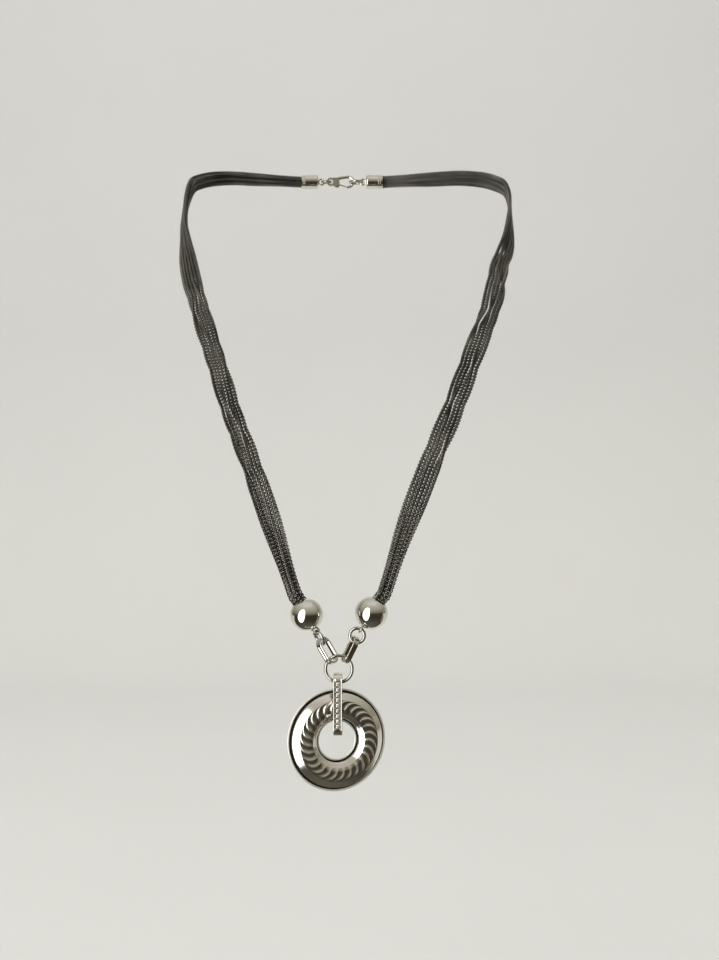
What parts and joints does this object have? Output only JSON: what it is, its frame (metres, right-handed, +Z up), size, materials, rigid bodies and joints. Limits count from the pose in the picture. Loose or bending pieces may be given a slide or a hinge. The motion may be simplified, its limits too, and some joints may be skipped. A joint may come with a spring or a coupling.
{
  "type": "pendant necklace",
  "caption": "Necklace of two flat bundles of fine chains, each ending in a ball, linked by rings to a stone-set bail that carries a round domed pendant with a hole.",
  "frame": {"origin": "centre of the neck that wears it, at the height where the chains leave the sides of the neck", "axes": "+Z up, +X to a viewer's right, +Y to the back of the neck, so that the wearer faces -Y"},
  "size_m": [0.1361, 0.1599, 0.249],
  "materials": {
    "polished_steel": "polished",
    "chain_steel": "dark polished chain",
    "crystal": "faceted, clear"
  },
  "bodies": {
    "root": {"left_strand_1": "chain_steel", "left_strand_2": "chain_steel", "left_strand_3": "chain_steel", "left_strand_4": "chain_steel", "left_strand_5": "chain_steel", "left_strand_6": "chain_steel", "right_strand_1": "chain_steel", "right_strand_2": "chain_steel", "right_strand_3": "chain_steel", "right_strand_4": "chain_steel", "right_strand_5": "chain_steel", "right_strand_6": "chain_steel", "left_ball": "polished_steel", "right_ball": "polished_steel", "left_strand_cup": "polished_steel", "right_strand_cup": "polished_steel", "left_eye_pin": "polished_steel", "right_eye_pin": "polished_steel", "left_end_cap": "polished_steel", "right_end_cap": "polished_steel"},
    "left_ring": {"left_ring": "polished_steel"},
    "right_ring": {"right_ring": "polished_steel"},
    "left_link": {"left_link": "polished_steel"},
    "right_link": {"right_link": "polished_steel"},
    "centre_ring": {"centre_ring": "polished_steel"},
    "bail": {"bail_frame": "polished_steel", "bail_crystal_1": "crystal", "bail_crystal_2": "crystal", "bail_crystal_3": "crystal", "bail_crystal_4": "crystal", "bail_crystal_5": "crystal", "bail_crystal_6": "crystal", "bail_crystal_7": "crystal", "bail_crystal_8": "crystal", "bail_crystal_9": "crystal"},
    "pendant": {"pendant_dome": "polished_steel", "pendant_back_plate": "polished_steel"},
    "clasp_ring": {"clasp_ring": "polished_steel"},
    "catch_ring": {"catch_ring": "polished_steel"},
    "clasp": {"clasp_body": "polished_steel", "clasp_pin": "polished_steel", "clasp_spring": "polished_steel"},
    "clasp_lever": {"clasp_lever": "polished_steel"}
  },
  "joints": [
    {"name": "left_ring_swing", "type": "hinge", "parent": "root", "child": "left_ring", "pos_m": [-0.00712, -0.092, -0.17504], "axis": [-0.9986, 0, -0.0526], "range_deg": [-15, 15]},
    {"name": "right_ring_swing", "type": "hinge", "parent": "root", "child": "right_ring", "pos_m": [0.00808, -0.092, -0.17424], "axis": [-0.9986, 0, -0.0526], "range_deg": [-15, 15]},
    {"name": "left_link_swing", "type": "hinge", "parent": "left_ring", "child": "left_link", "pos_m": [-0.0061, -0.092, -0.17665], "axis": [-1, 0, 0], "range_deg": [-15, 15]},
    {"name": "right_link_swing", "type": "hinge", "parent": "right_ring", "child": "right_link", "pos_m": [0.0069, -0.092, -0.17665], "axis": [-1, 0, 0], "range_deg": [-15, 15]},
    {"name": "centre_ring_swing", "type": "hinge", "parent": "left_link", "child": "centre_ring", "pos_m": [0.0007, -0.092, -0.1842], "axis": [-1, 0, 0], "range_deg": [-20, 20]},
    {"name": "bail_swing", "type": "hinge", "parent": "centre_ring", "child": "bail", "pos_m": [0.00065, -0.092, -0.19235], "axis": [-1, 0, 0], "range_deg": [-20, 60]},
    {"name": "pendant_spin", "type": "hinge", "parent": "bail", "child": "pendant", "pos_m": [-0.00031, -0.09104, -0.2127], "axis": [0.3256, -0.9455, 0], "continuous": true},
    {"name": "clasp_ring_twist", "type": "hinge", "parent": "root", "child": "clasp_ring", "pos_m": [-0.0095, 0.0575, 0.015], "axis": [1, 0, 0], "range_deg": [-20, 20]},
    {"name": "clasp_twist", "type": "hinge", "parent": "clasp_ring", "child": "clasp", "pos_m": [-0.0055, 0.0575, 0.015], "axis": [1, 0, 0], "range_deg": [-10, 10]},
    {"name": "catch_ring_twist", "type": "hinge", "parent": "root", "child": "catch_ring", "pos_m": [0.0085, 0.0575, 0.015], "axis": [1, 0, 0], "range_deg": [-20, 20]},
    {"name": "clasp_lever_hinge", "type": "hinge", "parent": "clasp", "child": "clasp_lever", "pos_m": [-0.0022, 0.0575, 0.014], "axis": [0, -1, 0], "range_deg": [0, 25], "stiffness_Nm_per_rad": 0.002, "springref_deg": -22.92}
  ],
  "couplings": [
    {"joint": "right_ring_swing", "follows": "left_ring_swing", "ratio": 1},
    {"joint": "right_link_swing", "follows": "left_link_swing", "ratio": 1},
    {"joint": "catch_ring_twist", "follows": "clasp_ring_twist", "ratio": 1}
  ]
}
